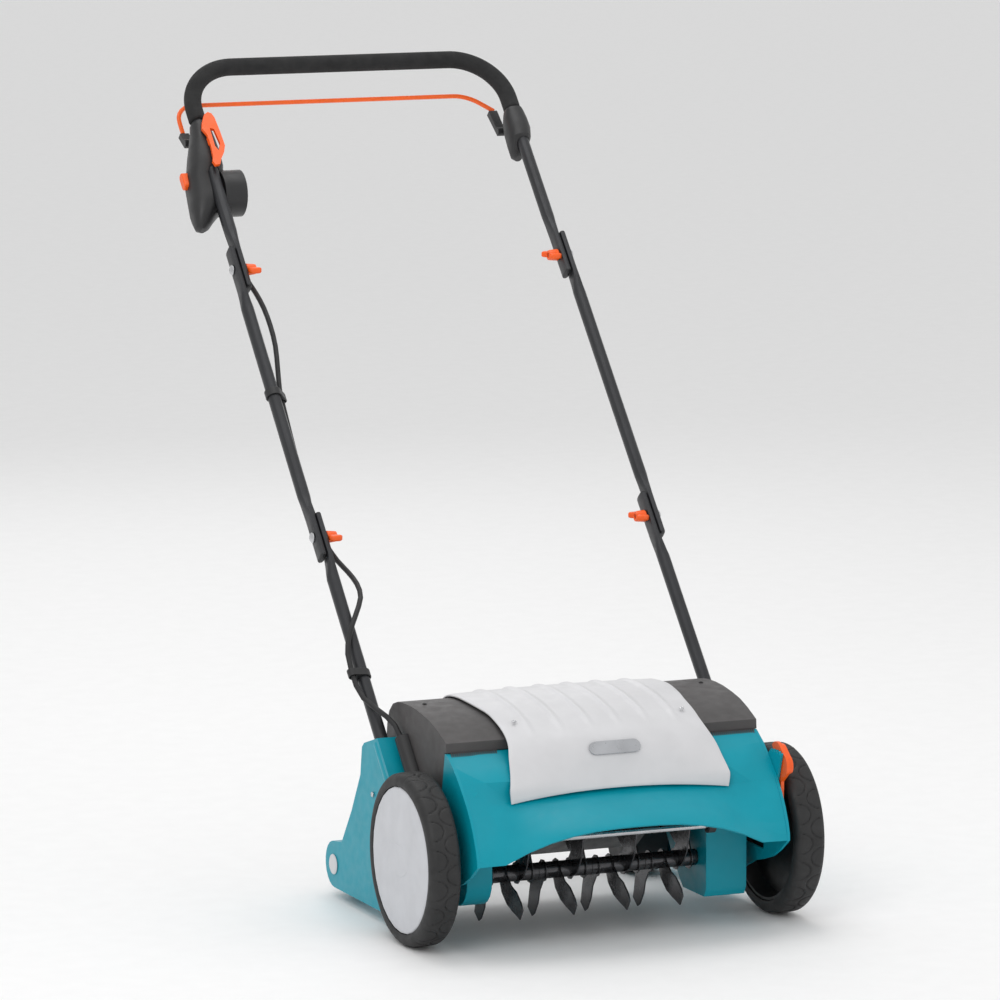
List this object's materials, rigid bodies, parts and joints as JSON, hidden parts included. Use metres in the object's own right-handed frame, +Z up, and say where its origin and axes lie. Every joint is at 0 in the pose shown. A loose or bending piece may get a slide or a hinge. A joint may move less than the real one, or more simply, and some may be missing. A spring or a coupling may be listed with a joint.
{
  "type": "lawn dethatcher",
  "caption": "Walk-behind electric lawn dethatcher with bladed rotor, front wheels, rear rollers and a folding tubular handle with a squeeze bail.",
  "frame": {"origin": "on the ground, at the middle of the machine's plan", "axes": "+Z up, -Y towards the front of the machine, +Y towards the operator, +X along the rotor"},
  "size_m": [0.568, 1.0783, 1.0949],
  "materials": {
    "teal_plastic": "moulded, satin",
    "light_grey_plastic": "moulded, satin",
    "dark_grey_plastic": "moulded, fine grain",
    "black_plastic": "moulded, satin",
    "black_rubber": "matt",
    "tyre_rubber": "matt",
    "grip_foam": "foam, matt",
    "orange_plastic": "moulded, satin",
    "orange_rod": "coated rod, satin",
    "tube_paint": "powder coat, satin",
    "bright_steel": "bright",
    "blade_steel": "blackened",
    "shaft_steel": "dark, glossy"
  },
  "bodies": {
    "body": {"hood": "teal_plastic", "motor_cover": "dark_grey_plastic", "centre_panel": "light_grey_plastic", "badge": "light_grey_plastic", "cable_guard": "black_plastic", "deck": "black_plastic", "bearing_box": "teal_plastic", "belt_box": "teal_plastic", "drive_belt": "black_rubber", "motor": "dark_grey_plastic", "bracket_left": "teal_plastic", "bracket_right": "teal_plastic", "roller_cap_left": "light_grey_plastic", "roller_cap_right": "light_grey_plastic", "rear_axle": "bright_steel", "lower_tube_left": "tube_paint", "lower_tube_right": "tube_paint", "detent_rack": "teal_plastic", "cable_lower": "black_rubber", "cable_clip_lower": "black_plastic"},
    "crank": {"height_axle": "bright_steel", "height_lever": "orange_plastic"},
    "wheel_left": {"tyre_left": "tyre_rubber", "wheel_rim_left": "black_plastic", "wheel_cap_left": "light_grey_plastic"},
    "wheel_right": {"tyre_right": "tyre_rubber", "wheel_rim_right": "black_plastic", "wheel_cap_right": "light_grey_plastic"},
    "rotor": {"rotor_shaft": "shaft_steel", "rotor_pulley": "black_plastic", "blades_1": "blade_steel", "blades_2": "blade_steel", "blades_3": "blade_steel", "blades_4": "blade_steel"},
    "motor_spindle": {"motor_shaft": "bright_steel", "motor_pulley": "black_plastic"},
    "rear_roller_left": {"roller_left": "black_rubber"},
    "rear_roller_right": {"roller_right": "black_rubber"},
    "handle_middle": {"middle_tube_left": "tube_paint", "middle_tube_right": "tube_paint", "bolt_lower_left": "bright_steel", "bolt_lower_right": "bright_steel", "bolt_upper_left": "bright_steel", "bolt_upper_right": "bright_steel", "cable_middle": "black_rubber", "cable_clip_middle": "black_plastic"},
    "handle_upper": {"upper_tube": "tube_paint", "grip": "grip_foam", "switch_housing": "black_plastic", "pivot_housing": "black_plastic", "cable_hook": "orange_plastic", "cable_upper": "black_rubber"},
    "bail": {"bail_rod": "orange_rod", "bail_lug_left": "black_plastic", "bail_lug_right": "black_plastic"},
    "lockout": {"lockout_button": "orange_plastic"},
    "nut_lower_left": {"wing_nut_lower_left": "orange_plastic"},
    "nut_lower_right": {"wing_nut_lower_right": "orange_plastic"},
    "nut_upper_left": {"wing_nut_upper_left": "orange_plastic"},
    "nut_upper_right": {"wing_nut_upper_right": "orange_plastic"}
  },
  "joints": [
    {"name": "height_adjust", "type": "hinge", "parent": "body", "child": "crank", "pos_m": [0, -0.47863, 0.144], "axis": [1, 0, 0], "range_deg": [0, 10]},
    {"name": "wheel_left_spin", "type": "hinge", "parent": "crank", "child": "wheel_left", "pos_m": [0, -0.40363, 0.115], "axis": [1, 0, 0], "continuous": true},
    {"name": "wheel_right_spin", "type": "hinge", "parent": "crank", "child": "wheel_right", "pos_m": [0, -0.40363, 0.115], "axis": [1, 0, 0], "continuous": true},
    {"name": "rotor_spin", "type": "hinge", "parent": "body", "child": "rotor", "pos_m": [0, -0.40363, 0.0845], "axis": [1, 0, 0], "continuous": true},
    {"name": "motor_spin", "type": "hinge", "parent": "body", "child": "motor_spindle", "pos_m": [0, -0.29163, 0.215], "axis": [1, 0, 0], "continuous": true},
    {"name": "roller_left_spin", "type": "hinge", "parent": "body", "child": "rear_roller_left", "pos_m": [0, -0.09703, 0.0465], "axis": [1, 0, 0], "continuous": true},
    {"name": "roller_right_spin", "type": "hinge", "parent": "body", "child": "rear_roller_right", "pos_m": [0, -0.09703, 0.0465], "axis": [1, 0, 0], "continuous": true},
    {"name": "lower_fold", "type": "hinge", "parent": "body", "child": "handle_middle", "pos_m": [0, -0.02363, 0.4856], "axis": [1, 0, 0], "range_deg": [0, 100]},
    {"name": "upper_fold", "type": "hinge", "parent": "handle_middle", "child": "handle_upper", "pos_m": [0, 0.28388, 0.81919], "axis": [1, 0, 0], "range_deg": [0, 140]},
    {"name": "bail_squeeze", "type": "hinge", "parent": "handle_upper", "child": "bail", "pos_m": [0, 0.47785, 0.97945], "axis": [1, 0, 0], "range_deg": [0, 17], "stiffness_Nm_per_rad": 0.6, "springref_deg": -14.32},
    {"name": "lockout_press", "type": "slide", "parent": "handle_upper", "child": "lockout", "axis": [1, 0, 0], "range_m": [0, 0.005], "stiffness_N_per_m": 300, "springref_m": -0.003},
    {"name": "nut_lower_left_turn", "type": "hinge", "parent": "handle_middle", "child": "nut_lower_left", "pos_m": [0, -0.02363, 0.4856], "axis": [1, 0, 0], "continuous": true},
    {"name": "nut_lower_right_turn", "type": "hinge", "parent": "handle_middle", "child": "nut_lower_right", "pos_m": [0, -0.02363, 0.4856], "axis": [1, 0, 0], "continuous": true},
    {"name": "nut_upper_left_turn", "type": "hinge", "parent": "handle_middle", "child": "nut_upper_left", "pos_m": [0, 0.28388, 0.81919], "axis": [1, 0, 0], "continuous": true},
    {"name": "nut_upper_right_turn", "type": "hinge", "parent": "handle_middle", "child": "nut_upper_right", "pos_m": [0, 0.28388, 0.81919], "axis": [1, 0, 0], "continuous": true}
  ],
  "couplings": [
    {"joint": "motor_spin", "follows": "rotor_spin", "ratio": 1.5714}
  ]
}
